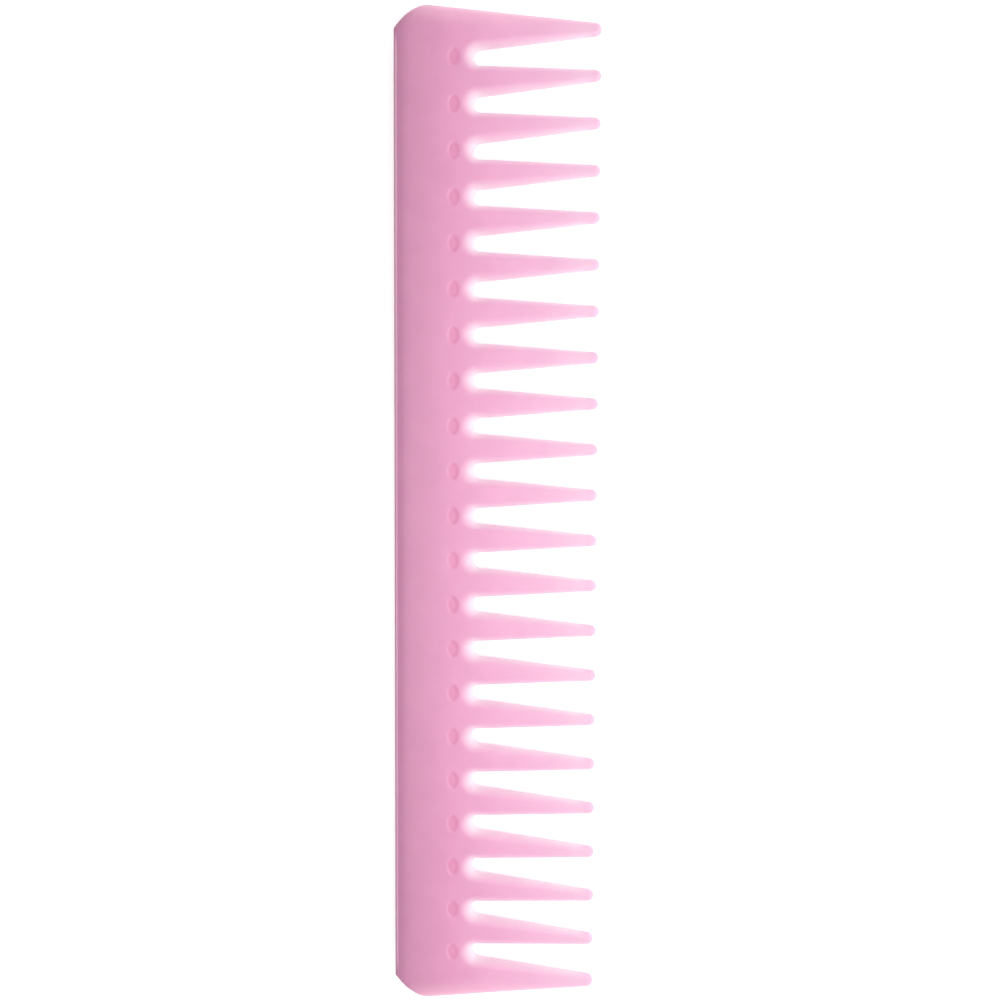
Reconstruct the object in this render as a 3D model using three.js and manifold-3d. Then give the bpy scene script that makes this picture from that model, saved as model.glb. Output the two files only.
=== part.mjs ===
// Wide tooth comb: one injection-moulded piece, modelled as its named regions.
//
// Millimetres. The comb lies flat on its lower face, which is the plane z = 0. +X runs from the
// back edge to the tooth tips, +Y runs along the comb and +Z is up through its thickness. The
// origin is under the middle of the comb. The comb is thickest at the back and thins evenly
// towards the tips, so its upper face is one sloping plane.

import * as THREE from "three";
import { mergeVertices } from "three/addons/utils/BufferGeometryUtils.js";
import Module from "manifold-3d";

// Driving dimensions.
const HALF_WIDTH = 20.8; // middle of the comb to the back edge, and to the tips
const PITCH = 9.1; // from one tooth to the next
const INNER_TEETH = 20;
const BACK_THICKNESS = 5.2;
const TIP_THICKNESS = 2;
const EDGE_ROUND = 0.8; // how far the rounding of every edge reaches into a face
const EDGE_ROUND_SHARE = 0.3; // the part of the thickness that each rounding takes

// Teeth and gaps.
const ROOT_X = -3; // centre of the round root of each gap
const ROOT_HALF_TOOTH = 2.98; // half an inner tooth's width at ROOT_X
const TIP_RADIUS = 1.1;
const END_TIP_RADIUS = 1.25;

// The two ends: an outer edge that slopes in towards the tip, and a rounded back corner.
const END_SLOPE = 0.157;
const END_REACH = 99.55; // where the line of the outer edge crosses x = 0
const CORNER_START_Y = 97.4; // on the back edge
const CORNER_CONTROL_X = -17.2; // where the corner's two tangents meet
const CORNER_END_X = -13;

// The spine: a band along the back whose faces fall away a little, then round over.
const SPINE_X = -17.75; // its inner side
const SPINE_FALL = 0.35; // how far each face drops across the band
const BACK_ROUND = 1.3; // radius of the two long back edges

// A shallow oval dimple in each face of the web, in line with every gap.
const DIMPLE_X = -8;
const DIMPLE_RADII = new THREE.Vector3(1.2, 1.95, 0.5);

// Fineness of the round stretches.
const CURVE_SEGMENTS = 3;
const EDGE_SEGMENTS = 2;
const DIMPLE_SIDES = 10;
const DIMPLE_RINGS = 4;

const MARGIN = 5; // how far a cutting block reaches past the comb
const FAR = 120; // beyond the comb's end

const TEETH = INNER_TEETH + 2;
const GAPS = TEETH - 1;
const ROOT_RADIUS = PITCH / 2 - ROOT_HALF_TOOTH;

const wasm = await Module();
wasm.setup();

const PINK = { color: 0xeba8cc, roughness: 0.42, metalness: 0 };

// Middle of gap number i, counted from the +Y end.
function gapY(i) {
  return ((GAPS - 1) / 2 - i) * PITCH;
}

// Thickness of the comb before its edges are rounded.
function thicknessAt(x) {
  const share = (x + HALF_WIDTH) / (2 * HALF_WIDTH);
  return THREE.MathUtils.lerp(BACK_THICKNESS, TIP_THICKNESS, share);
}

// The outer edge of the +Y end.
function endY(x) {
  return END_REACH - END_SLOPE * x;
}

// Goes round a tooth's tip from its +Y side to its -Y side.
function addTip(outline, y, radius) {
  outline.absarc(HALF_WIDTH - radius, y, radius, Math.PI / 2, -Math.PI / 2, true);
}

// Goes round a gap's root from the tooth on its +Y side to the tooth on its -Y side.
function addRoot(outline, y) {
  outline.absarc(ROOT_X, y, ROOT_RADIUS, Math.PI / 2, (3 * Math.PI) / 2, false);
}

// The whole comb seen from above, clockwise from the back edge's -Y end.
function planOutline() {
  const endTipX = HALF_WIDTH - END_TIP_RADIUS;
  const endTipY = endY(endTipX) - END_TIP_RADIUS;
  const outline = new THREE.Shape();
  outline.moveTo(-HALF_WIDTH, -CORNER_START_Y);
  outline.lineTo(-HALF_WIDTH, CORNER_START_Y);
  outline.quadraticCurveTo(CORNER_CONTROL_X, endY(CORNER_CONTROL_X), CORNER_END_X, endY(CORNER_END_X));
  addTip(outline, endTipY, END_TIP_RADIUS);
  addRoot(outline, gapY(0));
  for (let i = 1; i < GAPS; i += 1) {
    addTip(outline, gapY(i) + PITCH / 2, TIP_RADIUS);
    addRoot(outline, gapY(i));
  }
  addTip(outline, -endTipY, END_TIP_RADIUS);
  outline.lineTo(CORNER_END_X, -endY(CORNER_END_X));
  outline.quadraticCurveTo(CORNER_CONTROL_X, -endY(CORNER_CONTROL_X), -HALF_WIDTH, -CORNER_START_Y);
  return outline;
}

// The cross-section of the back, in x and z, open wide towards the teeth.
function backProfile() {
  const backX = -HALF_WIDTH;
  const top = thicknessAt(SPINE_X);
  const far = HALF_WIDTH + MARGIN;
  const profile = new THREE.Shape();
  profile.moveTo(SPINE_X, 0);
  profile.lineTo(far, -MARGIN);
  profile.lineTo(far, top + MARGIN);
  profile.lineTo(SPINE_X, top);
  profile.lineTo(backX + BACK_ROUND, top - SPINE_FALL);
  profile.absarc(backX + BACK_ROUND, top - SPINE_FALL - BACK_ROUND, BACK_ROUND, Math.PI / 2, Math.PI, false);
  profile.absarc(backX + BACK_ROUND, SPINE_FALL + BACK_ROUND, BACK_ROUND, Math.PI, (3 * Math.PI) / 2, false);
  profile.closePath();
  return profile;
}

// A closed three.js geometry as a solid that can be cut.
function toSolid(geometry) {
  const bare = geometry.index ? geometry.toNonIndexed() : geometry.clone();
  bare.deleteAttribute("normal");
  bare.deleteAttribute("uv");
  const merged = mergeVertices(bare, 1e-4);
  return new wasm.Manifold(
    new wasm.Mesh({
      numProp: 3,
      vertProperties: merged.attributes.position.array,
      triVerts: new Uint32Array(merged.index.array),
    }),
  );
}

// A solid as a three.js mesh with its own material.
function toMesh(name, solid) {
  const { vertProperties, triVerts } = solid.getMesh();
  const geometry = new THREE.BufferGeometry();
  geometry.setAttribute("position", new THREE.BufferAttribute(vertProperties, 3));
  geometry.setIndex(new THREE.BufferAttribute(triVerts, 1));
  geometry.computeVertexNormals();
  const mesh = new THREE.Mesh(geometry, new THREE.MeshStandardMaterial(PINK));
  mesh.name = name;
  return mesh;
}

// The outline at full thickness, with its edges rounded and its upper face sloping to the tips.
function wedgeBlank() {
  const geometry = new THREE.ExtrudeGeometry(planOutline(), {
    depth: 1 - 2 * EDGE_ROUND_SHARE,
    bevelSize: EDGE_ROUND,
    bevelOffset: -EDGE_ROUND,
    bevelThickness: EDGE_ROUND_SHARE,
    bevelSegments: EDGE_SEGMENTS,
    curveSegments: CURVE_SEGMENTS,
  });
  geometry.translate(0, 0, EDGE_ROUND_SHARE);
  const position = geometry.attributes.position;
  for (let i = 0; i < position.count; i += 1) {
    position.setZ(i, position.getZ(i) * thicknessAt(position.getX(i)));
  }
  return toSolid(geometry);
}

// A long bar with the back's cross-section, which trims the blank to the spine's shape.
function backTrim() {
  const geometry = new THREE.ExtrudeGeometry(backProfile(), {
    depth: 2 * FAR,
    bevelEnabled: false,
    curveSegments: CURVE_SEGMENTS,
  });
  geometry.translate(0, 0, -FAR);
  geometry.rotateX(Math.PI / 2);
  return toSolid(geometry);
}

// The oval that is pressed into a face at height z, in line with gap i.
function dimple(i, z) {
  const geometry = new THREE.SphereGeometry(1, DIMPLE_SIDES, DIMPLE_RINGS);
  geometry.rotateX(Math.PI / 2);
  geometry.scale(DIMPLE_RADII.x, DIMPLE_RADII.y, DIMPLE_RADII.z);
  geometry.translate(DIMPLE_X, gapY(i), z);
  return toSolid(geometry);
}

// The whole moulding.
function moulding() {
  let solid = wedgeBlank().intersect(backTrim());
  for (let i = 0; i < GAPS; i += 1) {
    solid = solid.subtract(dimple(i, 0));
    solid = solid.subtract(dimple(i, thicknessAt(DIMPLE_X)));
  }
  return solid;
}

// The part of the moulding between two planes of x and two planes of y.
function region(solid, x0, x1, y0, y1) {
  const height = BACK_THICKNESS + 2 * MARGIN;
  const geometry = new THREE.BoxGeometry(x1 - x0, y1 - y0, height);
  geometry.translate((x0 + x1) / 2, (y0 + y1) / 2, BACK_THICKNESS / 2);
  return solid.intersect(toSolid(geometry));
}

// A tooth's name, counted from the +Y end.
function toothName(i) {
  if (i === 0) return "end_tooth_1";
  if (i === TEETH - 1) return "end_tooth_2";
  return `tooth_${String(i).padStart(2, "0")}`;
}

function buildComb() {
  const comb = new THREE.Group();
  const solid = moulding();
  comb.add(toMesh("spine", region(solid, -HALF_WIDTH - MARGIN, SPINE_X, -FAR, FAR)));
  comb.add(toMesh("web", region(solid, SPINE_X, ROOT_X, -FAR, FAR)));
  for (let i = 0; i < TEETH; i += 1) {
    const upper = i === 0 ? FAR : gapY(i - 1);
    const lower = i === TEETH - 1 ? -FAR : gapY(i);
    comb.add(toMesh(toothName(i), region(solid, ROOT_X, HALF_WIDTH + MARGIN, lower, upper)));
  }
  return comb;
}

export default buildComb();
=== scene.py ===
"""The looks of a wide tooth comb: one pink translucent moulding, lying on a pale table.

Metres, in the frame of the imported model: the lower face lies on z = 0, +X runs from the back edge
to the tooth tips, and +Y along the comb. Lengths below are written in millimetres times MM.
"""

import math

import bmesh
import bpy
import numpy as np
from mathutils import Matrix, Vector
from mathutils.geometry import delaunay_2d_cdt


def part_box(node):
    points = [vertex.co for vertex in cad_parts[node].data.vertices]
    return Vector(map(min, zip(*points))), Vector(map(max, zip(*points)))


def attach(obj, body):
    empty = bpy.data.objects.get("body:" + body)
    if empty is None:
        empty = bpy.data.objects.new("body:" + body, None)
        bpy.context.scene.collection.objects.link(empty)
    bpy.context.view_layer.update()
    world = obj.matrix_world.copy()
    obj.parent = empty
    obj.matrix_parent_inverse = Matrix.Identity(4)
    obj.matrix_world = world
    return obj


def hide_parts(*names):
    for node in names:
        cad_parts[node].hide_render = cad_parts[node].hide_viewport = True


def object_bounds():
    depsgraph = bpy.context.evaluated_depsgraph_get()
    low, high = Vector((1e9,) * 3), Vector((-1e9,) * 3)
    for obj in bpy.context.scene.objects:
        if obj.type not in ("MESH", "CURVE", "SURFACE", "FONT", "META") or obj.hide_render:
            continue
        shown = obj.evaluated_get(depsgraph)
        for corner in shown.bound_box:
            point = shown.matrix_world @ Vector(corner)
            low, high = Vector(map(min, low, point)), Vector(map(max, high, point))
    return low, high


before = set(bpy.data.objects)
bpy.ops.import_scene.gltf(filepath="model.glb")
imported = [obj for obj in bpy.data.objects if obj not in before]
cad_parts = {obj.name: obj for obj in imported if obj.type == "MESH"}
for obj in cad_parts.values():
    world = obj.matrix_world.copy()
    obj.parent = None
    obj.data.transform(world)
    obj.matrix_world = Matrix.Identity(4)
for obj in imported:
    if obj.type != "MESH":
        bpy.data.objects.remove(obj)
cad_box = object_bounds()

MM = 0.001

# ---------------------------------------------------------------- sizes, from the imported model

LOW, HIGH = cad_box
SPINE_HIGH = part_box("spine")[1]
WEB_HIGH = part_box("web")[1]
TOOTH_LOW, TOOTH_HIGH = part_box("tooth_01")
NEXT_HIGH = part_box("tooth_02")[1]
END_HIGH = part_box("end_tooth_1")[1]

INNER_TEETH = sum(name.startswith("tooth_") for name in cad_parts)
TEETH = INNER_TEETH + 2
GAPS = TEETH - 1

BACK_X = LOW[0]
TIP_X = HIGH[0]
SPINE_X = SPINE_HIGH[0]
ROOT_X = WEB_HIGH[0]
PITCH = TOOTH_HIGH[1] - NEXT_HIGH[1]
ROOT_HALF_TOOTH = (TOOTH_HIGH[1] - TOOTH_LOW[1]) / 2
ROOT_RADIUS = PITCH / 2 - ROOT_HALF_TOOTH

# The wedge of the comb's thickness, from the two cuts across it.
SPINE_THICKNESS = WEB_HIGH[2]
ROOT_THICKNESS = TOOTH_HIGH[2]
WEDGE_SLOPE = (SPINE_THICKNESS - ROOT_THICKNESS) / (ROOT_X - SPINE_X)

TIP_RADIUS = 1.1 * MM
END_TIP_RADIUS = 1.25 * MM

# The ends of the comb.
END_SLOPE = 0.157
END_REACH = END_HIGH[1] + END_SLOPE * ROOT_X
CORNER_START_Y = 97.4 * MM
CORNER_CONTROL_X = -17.2 * MM
CORNER_END_X = -13 * MM

# The spine's band: how far each face falls across it, where the fall is complete, and the faint
# crease along its inner side.
SPINE_FALL = 0.35 * MM
FALL_END = 0.4 * MM  # from the back edge
CREASE_REACH = 0.35 * MM
CREASE_DEPTH = 0.02 * MM

# The dimples. Shares are of a dimple's radius in each direction.
DIMPLE_X = -8 * MM
DIMPLE_HALF_WIDTH = 1.25 * MM
DIMPLE_HALF_LENGTH = 1.95 * MM
DIMPLE_DEPTH = 0.16 * MM
DIMPLE_RIM = 1.08  # where the wall starts
DIMPLE_WALL = 0.53  # how much of the radius the wall takes, on average round the dimple
DIMPLE_LEAN = 0.33  # how much less it takes on the side of the back, and more on the other
DIMPLE_TURN = 2  # how quickly the one side changes into the other

# The painted shade in a dimple reaches this share of its radius, a little towards the gap.
SHADE_RADIUS = 0.95
SHADE_SHIFT = 0.1
SHADE_FADE = 0.2

# How far the rounding of an edge reaches into a face, at five kinds of edge.
ROUND_BACK = 1.2 * MM
ROUND_END = 1.3 * MM
ROUND_ROOT = 2.3 * MM
ROUND_SIDE = 1.7 * MM
ROUND_TIP = 0.76 * MM

# Where the rounding changes from one kind of edge to the next.
BACK_TO_SIDE = 4 * MM  # from the back edge
END_NEAR = 1.2 * MM  # from the line of the end's outer edge
END_CHANGE = 0.8 * MM
WIDTH_PASSES = 12  # of smoothing along the outline
NORMAL_PASSES = 4

# A rounded edge in cross-section, a little squarer than a quarter circle: the angles of its rings,
# and the two rings of the wall between the rounding and the parting line, as (share of the
# rounding's reach, share of half the thickness).
RING_ANGLES = (12, 26, 40, 52, 63, 73, 82, 90)
RING_POWER = 0.86
WALL_RINGS = ((0.0, 0.05), (0.004, 0.1))
PARTING_RIDGE = 0.03 * MM  # how far the parting line stands out

# The painted glow of light through a thin edge: how strong it is, and how fast it fades into a face.
ROOT_GLOW = 1.0
SIDE_GLOW = 0.6
TIP_GLOW = 0.05
END_GLOW = 0.82
GAP_FADE = 1.9
END_FADE = 1.6

# Where the glow changes. It starts this far from the back edge and is full a ramp further on.
GLOW_START = 1.5 * MM
GLOW_RAMP = 3.5 * MM
ROOT_REACH = 2 * ROOT_RADIUS  # towards the tips, from the centre of a gap's root
ROOT_RAMP = 3 * ROOT_RADIUS
TIP_REACH = 4 * MM  # back from the tips
TIP_RAMP = 3 * MM

# Width of the glow along the ends' outer edges, at the roots and at the tips.
END_BAND = 4.2 * MM
TIP_BAND = 1 * MM

# The painted highlight along the rounding of the back edge, in the same measure as the painted glow:
# 1 on the outline and 0 where the face is flat. It fades out before the corners.
STRIP_MIDDLE = 0.28
STRIP_REACH = 0.22
STRIP_FADE = 4 * MM

# Fineness of the mesh.
OUTLINE_STEP = 0.45 * MM
ARC_STEP = 0.28 * MM
ARC_LEAST = 4
CORNER_STEPS = 24
FACE_STEP = 1.3 * MM
FACE_MARGIN = 0.3 * MM  # between a face's own points and its last ring
BAND_COLUMNS = np.array([-1.6, -1.2, -0.8, -0.45, -0.2, 0, 0.2, 0.45, 1]) * MM  # from SPINE_X
PLAIN_COLUMNS = 2 * MM  # from SPINE_X to the first column of the plain grid
DIMPLE_RINGS = (0.3, 0.55, 0.68, 0.76, 0.84, 0.92, 1.0, 1.09, 1.25)
DIMPLE_SPOKES = 24
DIMPLE_CLEAR = 1.45  # the plain grid stays outside this share of a dimple's radius
BATCH = 2000  # points tested at one time


def gap_y(i):
    """Middle of gap i, counted from the +Y end."""
    return ((GAPS - 1) / 2 - i) * PITCH


def thickness_at(x):
    """Thickness of the plain wedge."""
    return SPINE_THICKNESS - WEDGE_SLOPE * (x - SPINE_X)


def end_y(x):
    """The line of the +Y end's outer edge."""
    return END_REACH - END_SLOPE * x


def smooth(t):
    """0 up to 0, 1 from 1 on, and an S-shaped rise between."""
    t = np.clip(t, 0.0, 1.0)
    return t * t * (3 - 2 * t)


# ---------------------------------------------------------------- outline

def arc(centre, radius, start, end):
    """Points round an arc, in degrees, with the first and the last."""
    count = max(ARC_LEAST, math.ceil(abs(math.radians(end - start)) * radius / ARC_STEP))
    turns = np.radians(np.linspace(start, end, count + 1))
    return np.column_stack([centre[0] + radius * np.cos(turns), centre[1] + radius * np.sin(turns)])


def straight(a, b):
    """Points from a to b without the two ends."""
    a = np.array(a)
    b = np.array(b)
    count = max(2, math.ceil(np.linalg.norm(b - a) / OUTLINE_STEP))
    return a + (b - a) * np.linspace(0, 1, count + 1)[1:-1, None]


def corner_curve():
    """The rounded back corner at the +Y end, from the back edge to the end tooth's outer edge."""
    a = np.array([BACK_X, CORNER_START_Y])
    b = np.array([CORNER_CONTROL_X, end_y(CORNER_CONTROL_X)])
    c = np.array([CORNER_END_X, end_y(CORNER_END_X)])
    t = np.linspace(0, 1, CORNER_STEPS + 1)[:, None]
    return (1 - t) ** 2 * a + 2 * t * (1 - t) * b + t * t * c


def upper_half():
    """The outline from the back edge round the +Y end to the middle of the middle gap's root."""
    end_tip = (TIP_X - END_TIP_RADIUS, end_y(TIP_X - END_TIP_RADIUS) - END_TIP_RADIUS)
    runs = [corner_curve()]
    tips = [(end_tip, END_TIP_RADIUS)]
    for i in range(1, GAPS // 2 + 1):
        tips.append(((TIP_X - TIP_RADIUS, gap_y(i) + PITCH / 2), TIP_RADIUS))
    for i, (centre, radius) in enumerate(tips):
        tip = arc(centre, radius, 90, -90)
        last = 180 if i == GAPS // 2 else 270
        root = arc((ROOT_X, gap_y(i)), ROOT_RADIUS, 90, last)
        runs += [straight(runs[-1][-1], tip[0]), tip, straight(tip[-1], root[0]), root]
    return np.vstack(runs)


def whole_outline():
    """The comb seen from above, clockwise, the same on both sides of y = 0."""
    top = upper_half()
    bottom = (top * [1, -1])[::-1][1:]
    back = straight(bottom[-1], top[0])
    return np.vstack([top, bottom, back])


def inward_normals(outline):
    """Unit vectors into the material at each outline point. The outline runs clockwise."""
    along = np.roll(outline, -1, axis=0) - np.roll(outline, 1, axis=0)
    for _ in range(NORMAL_PASSES):
        along = np.roll(along, 1, axis=0) + along + np.roll(along, -1, axis=0)
    along /= np.linalg.norm(along, axis=1)[:, None]
    return np.column_stack([along[:, 1], -along[:, 0]])


def rounding_widths(outline):
    """How far the rounding reaches in at each outline point: wide at gap roots, narrow at tips."""
    x, y = outline.T
    share = smooth((x - ROOT_X) / (TIP_X - ROOT_X))
    tooth = (1 - share) * ROUND_SIDE + share * ROUND_TIP
    deep = smooth((ROOT_X - x) / ROOT_RADIUS)
    tooth = (1 - deep) * tooth + deep * ROUND_ROOT
    outer = smooth((np.abs(y) - end_y(x) + END_NEAR) / END_CHANGE)
    tooth = (1 - outer) * tooth + outer * np.minimum(tooth, ROUND_END)
    back = smooth((x - BACK_X) / BACK_TO_SIDE)
    width = (1 - back) * ROUND_BACK + back * tooth
    for _ in range(WIDTH_PASSES):
        width = (np.roll(width, 1) + width + np.roll(width, -1)) / 3
    return width


# ---------------------------------------------------------------- the moulding's mesh

def edge_rings():
    """Rings of a rounded edge: (share of the rounding's reach, share of half the thickness)."""
    rings = list(WALL_RINGS)
    for a in np.radians(RING_ANGLES):
        rings.append((1 - math.cos(a) ** RING_POWER, math.sin(a) ** RING_POWER))
    return rings


def half_depth(x):
    """Half the thickness of the finished comb away from its edges, with the spine's band."""
    half = thickness_at(x) / 2
    fall = smooth((SPINE_X - x) / (SPINE_X - BACK_X - FALL_END))
    crease = smooth(1 - np.abs(x - SPINE_X) / CREASE_REACH)
    return half - SPINE_FALL * fall - CREASE_DEPTH * crease


def in_dimple(x, y):
    """Place in the nearest dimple, along x and along y, where 1 is its rim."""
    nearest = np.clip(np.round(y / PITCH) * PITCH, gap_y(GAPS - 1), gap_y(0))
    return (x - DIMPLE_X) / DIMPLE_HALF_WIDTH, (y - nearest) / DIMPLE_HALF_LENGTH


def dimple_share(x, y):
    """1 on the floor of a dimple, 0 outside it. Its wall is gentler on the side towards the gap."""
    u, v = in_dimple(x, y)
    wall = DIMPLE_WALL + DIMPLE_LEAN * np.tanh(DIMPLE_TURN * u)
    return smooth((DIMPLE_RIM - np.hypot(u, v)) / wall)


def dimple_shade_share(x, y):
    """1 where a dimple gets painted shade: its floor and the gentle side of its wall."""
    u, v = in_dimple(x, y)
    return smooth((SHADE_RADIUS - np.hypot(u - SHADE_SHIFT, v)) / SHADE_FADE)


def grid_points():
    """A plain grid over the whole comb, with finer columns at the spine's band."""
    rows = np.arange(-math.floor(HIGH[1] / FACE_STEP), math.ceil(HIGH[1] / FACE_STEP)) * FACE_STEP
    plain = np.arange(SPINE_X + PLAIN_COLUMNS, TIP_X, FACE_STEP)
    columns = np.concatenate([SPINE_X + BAND_COLUMNS, plain])
    points = np.array([(x, y) for x in columns for y in rows])
    u = (points[:, 0] - DIMPLE_X) / DIMPLE_HALF_WIDTH
    v = (points[:, 1] - np.round(points[:, 1] / PITCH) * PITCH) / DIMPLE_HALF_LENGTH
    return points[u ** 2 + v ** 2 >= DIMPLE_CLEAR ** 2]


def dimple_points():
    """The middle of every dimple, and rings round it."""
    points = []
    for i in range(GAPS):
        points.append((DIMPLE_X, gap_y(i)))
        for r in DIMPLE_RINGS:
            for turn in np.linspace(0, 2 * math.pi, DIMPLE_SPOKES + 1)[:-1]:
                u = r * DIMPLE_HALF_WIDTH * math.cos(turn)
                v = r * DIMPLE_HALF_LENGTH * math.sin(turn)
                points.append((DIMPLE_X + u, gap_y(i) + v))
    return np.array(points)


def face_points(ring):
    """Points inside the last ring of a face."""
    points = np.vstack([grid_points(), dimple_points()])
    return points[inside(points, ring) & (distance(points, ring) > FACE_MARGIN)]


def inside(points, ring):
    """Which points lie inside a closed ring, by counting crossings."""
    a = ring
    b = np.roll(ring, -1, axis=0)
    run = np.where(b[:, 1] == a[:, 1], 1, b[:, 1] - a[:, 1])
    lean = (b[:, 0] - a[:, 0]) / run
    result = np.zeros(len(points), dtype=bool)
    for start in range(0, len(points), BATCH):
        x, y = points[start:start + BATCH].T[:, :, None]
        crosses = (a[:, 1] > y) != (b[:, 1] > y)
        to_the_right = x < a[:, 0] + (y - a[:, 1]) * lean
        result[start:start + BATCH] = (crosses & to_the_right).sum(axis=1) % 2 == 1
    return result


def distance(points, ring):
    """Distance from each point to the nearest point of a ring."""
    result = np.empty(len(points))
    for start in range(0, len(points), BATCH):
        part = points[start:start + BATCH]
        apart = np.linalg.norm(part[:, None] - ring[None], axis=2)
        result[start:start + BATCH] = apart.min(axis=1)
    return result


# For delaunay_2d_cdt: keep the triangles inside the outline, and join points this close, in mm.
INSIDE_ONLY = 1
MERGE_DISTANCE = 1e-6


def fill_face(ring):
    """Covers a face inside its last ring: (all its points, the ring's first; its triangles)."""
    points = np.vstack([ring, face_points(ring)])
    count = len(ring)
    edges = [(i, (i + 1) % count) for i in range(count)]
    scaled = [Vector(p) for p in points / MM]
    found = delaunay_2d_cdt(scaled, edges, [list(range(count))], INSIDE_ONLY, MERGE_DISTANCE)
    vertices, _, triangles, origins = found[:4]
    if len(vertices) != len(points):
        raise RuntimeError(f"the face has {len(vertices)} points, not {len(points)}")
    order = [origin[0] for origin in origins]
    return points, [[order[v] for v in triangle] for triangle in triangles]


def comb_mesh():
    """The moulding's vertices and faces, and each vertex's place on the rounding of its edge: 1 on
    the outline, 0 where the face is flat."""
    outline = whole_outline()
    normals = inward_normals(outline)
    widths = rounding_widths(outline)
    rings = edge_rings()
    count = len(outline)
    ridge = outline - normals * PARTING_RIDGE
    flat = [outline + normals * (widths * reach)[:, None] for reach, _ in rings]
    points, triangles = fill_face(flat[-1])

    def mid(x):
        return thickness_at(x) / 2

    vertices = [np.column_stack([ridge, mid(ridge[:, 0])])]
    edge = [np.ones(count)]
    faces = []
    for side in (1, -1):
        first = 0
        for k, (reach, rise) in enumerate(rings[:-1]):
            x, y = flat[k].T
            height = mid(x) + side * rise * half_depth(x)
            start = sum(len(v) for v in vertices)
            vertices.append(np.column_stack([x, y, height]))
            edge.append(np.full(count, 1 - reach))
            faces += band(first, start, count, side)
            first = start
        x, y = points.T
        height = mid(x) + side * (half_depth(x) - DIMPLE_DEPTH * dimple_share(x, y))
        start = sum(len(v) for v in vertices)
        vertices.append(np.column_stack([x, y, height]))
        edge.append(np.zeros(len(points)))
        faces += band(first, start, count, side)
        for a, b, c in triangles:
            corners = (start + a, start + b, start + c)
            faces.append(corners if side > 0 else corners[::-1])
    return np.vstack(vertices), faces, np.concatenate(edge)


def band(first, second, count, side):
    """Quads between two rings of the same length."""
    quads = []
    for i in range(count):
        j = (i + 1) % count
        quad = (first + i, second + i, second + j, first + j)
        quads.append(quad if side > 0 else quad[::-1])
    return quads


def store(mesh, name, values):
    """Keeps one number for each vertex, for the material to read."""
    mesh.attributes.new(name, "FLOAT", "POINT").data.foreach_set("value", values.astype(np.float32))


def store_looks(mesh, x, y, edge):
    """Marks the painted glow at the thin edges, the painted highlight along the back edge and the
    painted shade in the dimples. edge is 1 on the outline and 0 on the flat face."""
    off_back = smooth((x - BACK_X - GLOW_START) / GLOW_RAMP)
    at_root = smooth((ROOT_X + ROOT_REACH - x) / ROOT_RAMP)
    at_tip = smooth((x - TIP_X + TIP_REACH) / TIP_RAMP)
    along_tooth = smooth((x - ROOT_X) / (TIP_X - ROOT_X))
    from_end = (end_y(x) - np.abs(y)) / (END_BAND + (TIP_BAND - END_BAND) * along_tooth)
    at_end = from_end < 1
    strength = SIDE_GLOW + (ROOT_GLOW - SIDE_GLOW) * at_root
    strength = strength + (TIP_GLOW - strength) * at_tip
    # painted glow at the thin edges of the gaps, teeth and tips
    store(mesh, "glow", ~at_end * off_back * strength * edge ** GAP_FADE)
    end_share = np.clip(1 - from_end, 0, 1) ** END_FADE
    # painted glow along the ends' outer edges
    store(mesh, "end_glow", off_back * (1 - at_tip) * END_GLOW * end_share)
    off_corner = smooth((CORNER_START_Y - np.abs(y)) / STRIP_FADE)
    strip = smooth(2 - 2 * np.abs(edge - STRIP_MIDDLE) / STRIP_REACH)
    # painted highlight along the rounding of the back edge
    store(mesh, "painted_highlight", (1 - off_back) * off_corner * strip)
    # painted shade in the dimples
    store(mesh, "painted_dimple_shade", dimple_shade_share(x, y) * (edge == 0))


def make_comb():
    """The whole comb as one object."""
    vertices, faces, edge = comb_mesh()
    mesh = bpy.data.meshes.new("comb_moulding")
    mesh.from_pydata([tuple(v) for v in vertices], [], faces)
    build = bmesh.new()
    build.from_mesh(mesh)
    bmesh.ops.recalc_face_normals(build, faces=build.faces)
    build.to_mesh(mesh)
    build.free()
    mesh.polygons.foreach_set("use_smooth", [True] * len(mesh.polygons))
    store_looks(mesh, vertices[:, 0], vertices[:, 1], edge)
    mesh.update()
    comb = bpy.data.objects.new("comb_moulding", mesh)
    bpy.context.scene.collection.objects.link(comb)
    return comb


# ---------------------------------------------------------------- materials

class Nodes:
    """Short ways to add and join shader nodes."""

    def __init__(self, material):
        material.use_nodes = True
        self.tree = material.node_tree
        self.tree.nodes.clear()

    def add(self, kind, **values):
        node = self.tree.nodes.new(kind)
        for name, value in values.items():
            if hasattr(node, name):
                setattr(node, name, value)
            else:
                node.inputs[name.replace("_", " ")].default_value = value
        return node

    def join(self, output, socket):
        self.tree.links.new(output, socket)

    def ramp(self, value, stops):
        node = self.tree.nodes.new("ShaderNodeValToRGB")
        elements = node.color_ramp.elements
        stops = list(stops)
        while len(elements) < len(stops):
            elements.new(0.5)
        for element, (place, colour) in zip(elements, stops):
            element.position = place
            element.color = (*colour, 1)
        self.join(value, node.inputs["Fac"])
        return node.outputs["Color"]

    def noise(self, place, scale, detail, roughness):
        node = self.tree.nodes.new("ShaderNodeTexNoise")
        node.inputs["Scale"].default_value = scale
        node.inputs["Detail"].default_value = detail
        node.inputs["Roughness"].default_value = roughness
        self.join(place, node.inputs["Vector"])
        return node.outputs["Fac"]

    def mix(self, factor, a, b, blend="MIX"):
        node = self.tree.nodes.new("ShaderNodeMix")
        node.data_type = "RGBA"
        node.blend_type = blend
        for socket, value in ((node.inputs[0], factor), (node.inputs[6], a), (node.inputs[7], b)):
            if isinstance(value, (int, float)):
                socket.default_value = value
            elif isinstance(value, tuple):
                socket.default_value = (*value, 1)
            else:
                self.join(value, socket)
        return node.outputs[2]


# How bright a white face shows under these lights, and what the surface's sheen adds to any face.
LIT = 1.1
SHEEN = 0.032
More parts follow.
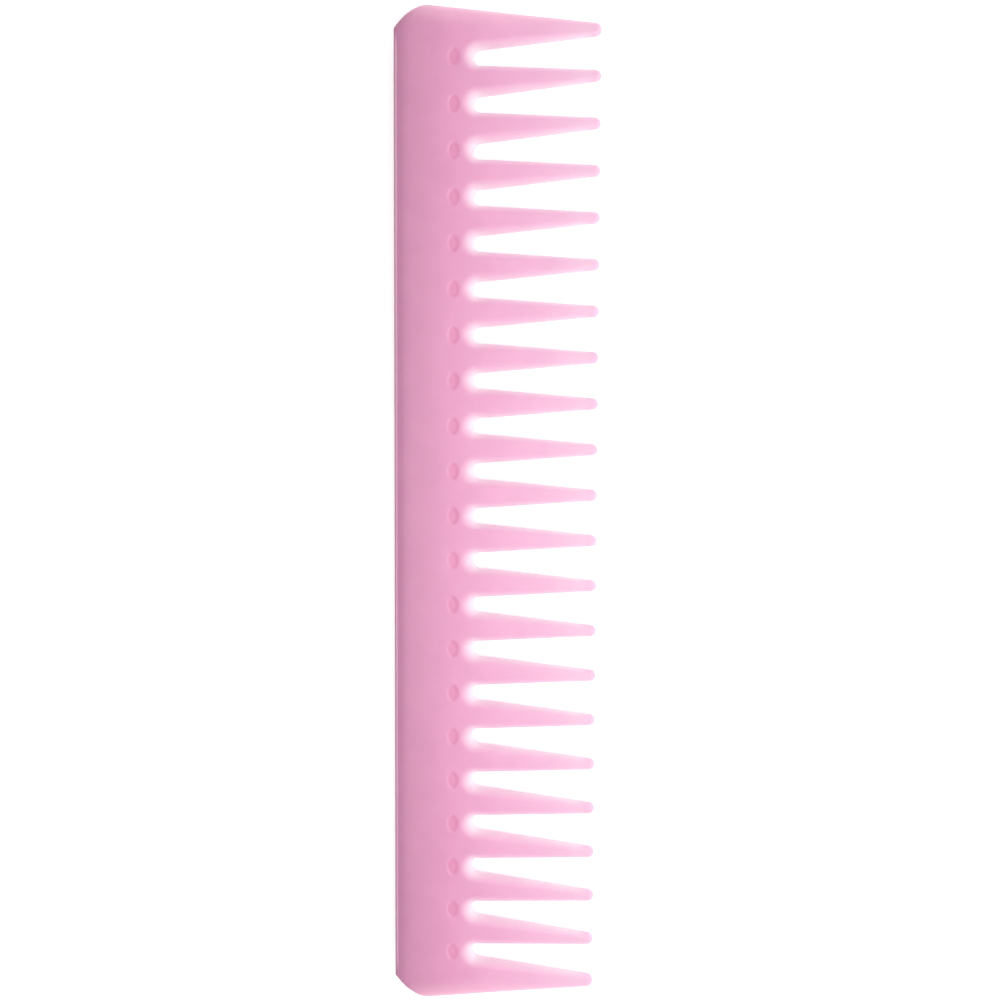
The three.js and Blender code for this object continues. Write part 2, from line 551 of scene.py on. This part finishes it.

# Screen colours, 0 to 255. The painted glow at the edges passes 255, so that it is white wherever
# light reaches it.
# Darker across the spine's band and paler towards the tips: partly the deeper pink of thick plastic,
# partly painted shade on the band and painted light through the thin teeth.
PINK_STOPS = (
    (0.0, (204, 143, 173)),  # share of the way from the back edge to the tips
    (0.05, (211, 149, 181)),
    (0.1, (221, 156, 189)),
    (0.3, (239, 170, 205)),
    (0.5, (247, 182, 216)),
    (0.75, (250, 194, 224)),
    (0.94, (251, 208, 231)),
    (1.0, (248, 204, 228)),
)
PAINTED_EDGE_GLOW = (264, 250, 256)
# painted glow along the ends' outer edges
PAINTED_END_GLOW = (262, 212, 232)
# painted highlight along the back edge's rounding
PAINTED_BACK_HIGHLIGHT = (242, 190, 216)
SPECK = (190, 120, 155)

# What the painted shade in a dimple and a cloud multiply the pink by.
DIMPLE_PAINTED_DARKENING = (1.0, 0.885, 0.92)
CLOUD_TINT = (0.955, 0.93, 0.95)

# Noise patterns, as (scale, detail, roughness), and the range of the noise that shows.
CLOUDS = (160, 3, 0.6)
CLOUD_RANGE = (0.3, 0.7)
SPECKS = (1300, 1, 0.4)
SPECK_RANGE = (0.8, 0.84)
SPECK_STRENGTH = 0.35
GRAIN = (2600, 2, 0.5)
GRAIN_RANGE = (0.3, 0.7)
SATIN = (0.4, 0.5)  # surface roughness in the low and the high of the grain
GRAIN_BUMP = 0.25
GRAIN_HEIGHT = 0.01 * MM

# How light spreads inside the plastic.
PLASTIC_IOR = 1.49
SPREAD_WEIGHT = 0.4
SPREAD_RADIUS = (1.0, 0.6, 0.85)
SPREAD_SCALE = 1.2 * MM


def seen(screen):
    """The reflectance that shows as a screen colour, 0 to 255, under the lights of this scene."""
    linear = [((v / 255 + 0.055) / 1.055) ** 2.4 for v in screen]
    return tuple((v - SHEEN) / LIT for v in linear)


def grey(value):
    return value, value, value


def attribute(n, name):
    """One of the numbers that store_looks keeps for each vertex."""
    node = n.add("ShaderNodeAttribute")
    node.attribute_name = name
    return node.outputs["Fac"]


def pink_across(n, place):
    """The pink from the thick spine to the thin tips: partly the deeper pink of thick plastic,
    partly painted shade across the spine's band and painted light through the thin teeth.
    """
    split = n.add("ShaderNodeSeparateXYZ")
    n.join(place, split.inputs[0])
    across = n.add("ShaderNodeMapRange")
    across.inputs["From Min"].default_value = BACK_X
    across.inputs["From Max"].default_value = TIP_X
    n.join(split.outputs["X"], across.inputs["Value"])
    stops = [(share, seen(colour)) for share, colour in PINK_STOPS]
    return n.ramp(across.outputs["Result"], stops)


def plastic_colour(n, place, cloud):
    """The pink with painted glow at its thin edges, a painted highlight along its back edge, painted
    shade in its dimples and a faint cloudiness.
    """
    colour = pink_across(n, place)
    colour = n.mix(attribute(n, "painted_dimple_shade"), colour, DIMPLE_PAINTED_DARKENING, "MULTIPLY")
    colour = n.mix(attribute(n, "glow"), colour, seen(PAINTED_EDGE_GLOW))
    colour = n.mix(attribute(n, "end_glow"), colour, seen(PAINTED_END_GLOW))
    colour = n.mix(attribute(n, "painted_highlight"), colour, seen(PAINTED_BACK_HIGHLIGHT))
    veil = n.ramp(cloud, zip(CLOUD_RANGE, (CLOUD_TINT, grey(1))))
    colour = n.mix(1.0, colour, veil, "MULTIPLY")
    specks = n.ramp(n.noise(place, *SPECKS), zip(SPECK_RANGE, (grey(0), grey(SPECK_STRENGTH))))
    return n.mix(specks, colour, seen(SPECK))


def pink_plastic():
    """Translucent pink plastic with a satin surface."""
    material = bpy.data.materials.new("pink_plastic")
    n = Nodes(material)
    place = n.add("ShaderNodeTexCoord").outputs["Object"]
    cloud = n.noise(place, *CLOUDS)
    grain = n.noise(place, *GRAIN)
    shader = n.add("ShaderNodeBsdfPrincipled", IOR=PLASTIC_IOR)
    n.join(plastic_colour(n, place, cloud), shader.inputs["Base Color"])
    shader.inputs["Subsurface Weight"].default_value = SPREAD_WEIGHT
    shader.inputs["Subsurface Radius"].default_value = SPREAD_RADIUS
    shader.inputs["Subsurface Scale"].default_value = SPREAD_SCALE
    satin = n.ramp(grain, zip(GRAIN_RANGE, map(grey, SATIN)))
    n.join(satin, shader.inputs["Roughness"])
    bump = n.add("ShaderNodeBump", Strength=GRAIN_BUMP, Distance=GRAIN_HEIGHT)
    n.join(grain, bump.inputs["Height"])
    n.join(bump.outputs["Normal"], shader.inputs["Normal"])
    output = n.add("ShaderNodeOutputMaterial")
    n.join(shader.outputs[0], output.inputs["Surface"])
    return material


# The table: its albedo, the faint light of its own that whitens it, and its half side. It is a
# little below the comb, so that the two flat faces do not flicker.
TABLE_WHITE = 0.9
TABLE_ROUGHNESS = 0.9
TABLE_GLOSS = 0.1
TABLE_LIGHT = 0.3
TABLE_HALF = 3.0
TABLE_GAP = 0.05 * MM


def table_paint():
    """Plain matt white."""
    material = bpy.data.materials.new("pale_table")
    n = Nodes(material)
    shader = n.add("ShaderNodeBsdfPrincipled", Roughness=TABLE_ROUGHNESS)
    shader.inputs["Base Color"].default_value = (*grey(TABLE_WHITE), 1)
    shader.inputs["Specular IOR Level"].default_value = TABLE_GLOSS
    shader.inputs["Emission Color"].default_value = (*grey(1), 1)
    shader.inputs["Emission Strength"].default_value = TABLE_LIGHT
    output = n.add("ShaderNodeOutputMaterial")
    n.join(shader.outputs[0], output.inputs["Surface"])
    return material


# ---------------------------------------------------------------- stage, light and camera

def make_table():
    """A big square just under the comb. It is the stage, not part of the object."""
    mesh = bpy.data.meshes.new("table")
    sides = [(-1, -1), (1, -1), (1, 1), (-1, 1)]
    corners = [(TABLE_HALF * x, TABLE_HALF * y, -TABLE_GAP) for x, y in sides]
    mesh.from_pydata(corners, [], [(0, 1, 2, 3)])
    table = bpy.data.objects.new("table", mesh)
    bpy.context.scene.collection.objects.link(table)
    mesh.materials.append(table_paint())


# The lights: name, place in metres, side in metres and power in watts.
LIGHTS = (
    ("overhead", (0.05, -0.022, 0.3), 0.25, 0.58),
    ("key", (0.5, 0, 0.33), 0.35, 1.3),
    ("end", (0.05, 0.45, 0.18), 0.3, 0.6),
    ("end", (0.05, -0.45, 0.18), 0.3, 0.6),
)
WORLD_LIGHT = 0.27


def area_light(name, place, size, power):
    """A square soft white light that looks at the middle of the comb."""
    light = bpy.data.lights.new(name, "AREA")
    light.size = size
    light.energy = power
    holder = bpy.data.objects.new(name, light)
    holder.location = place
    holder.rotation_euler = (-Vector(place)).to_track_quat("-Z", "Y").to_euler()
    bpy.context.scene.collection.objects.link(holder)


def make_lights():
    """Soft lights all round, and an even white world."""
    for light in LIGHTS:
        area_light(*light)
    world = bpy.data.worlds.new("studio")
    world.use_nodes = True
    background = world.node_tree.nodes["Background"]
    background.inputs["Color"].default_value = (*grey(1), 1)
    background.inputs["Strength"].default_value = WORLD_LIGHT
    bpy.context.scene.world = world


# The camera is close above the comb, a little to its tooth side. Its turns are about x, y and z,
# and the lens and sensor are in millimetres of the camera.
CAMERA_PLACE = Vector((59.4, 21.4, 243.6)) * MM
CAMERA_TURN = [math.radians(a) for a in (4.288, -13.516, -1.243)]
CAMERA_LENS = 44.3
CAMERA_SENSOR = 36
CAMERA_NEAREST = 10 * MM


def make_camera():
    """The camera at the photograph's viewing angle."""
    lens = bpy.data.cameras.new("camera")
    lens.lens = CAMERA_LENS
    lens.sensor_width = CAMERA_SENSOR
    lens.clip_start = CAMERA_NEAREST
    about_x, about_y, about_z = CAMERA_TURN
    turn = Matrix.Rotation(about_z, 3, "Z") @ Matrix.Rotation(about_y, 3, "Y")
    to_camera = turn @ Matrix.Rotation(about_x, 3, "X")
    camera = bpy.data.objects.new("camera", lens)
    camera.matrix_world = Matrix.Translation(CAMERA_PLACE) @ to_camera.transposed().to_4x4()
    bpy.context.scene.collection.objects.link(camera)
    bpy.context.scene.camera = camera


# ---------------------------------------------------------------- build

make_camera()
make_lights()
make_table()
comb = make_comb()
comb.data.materials.append(pink_plastic())
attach(comb, "root")
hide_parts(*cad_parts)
bpy.context.scene.view_settings.view_transform = "Standard"
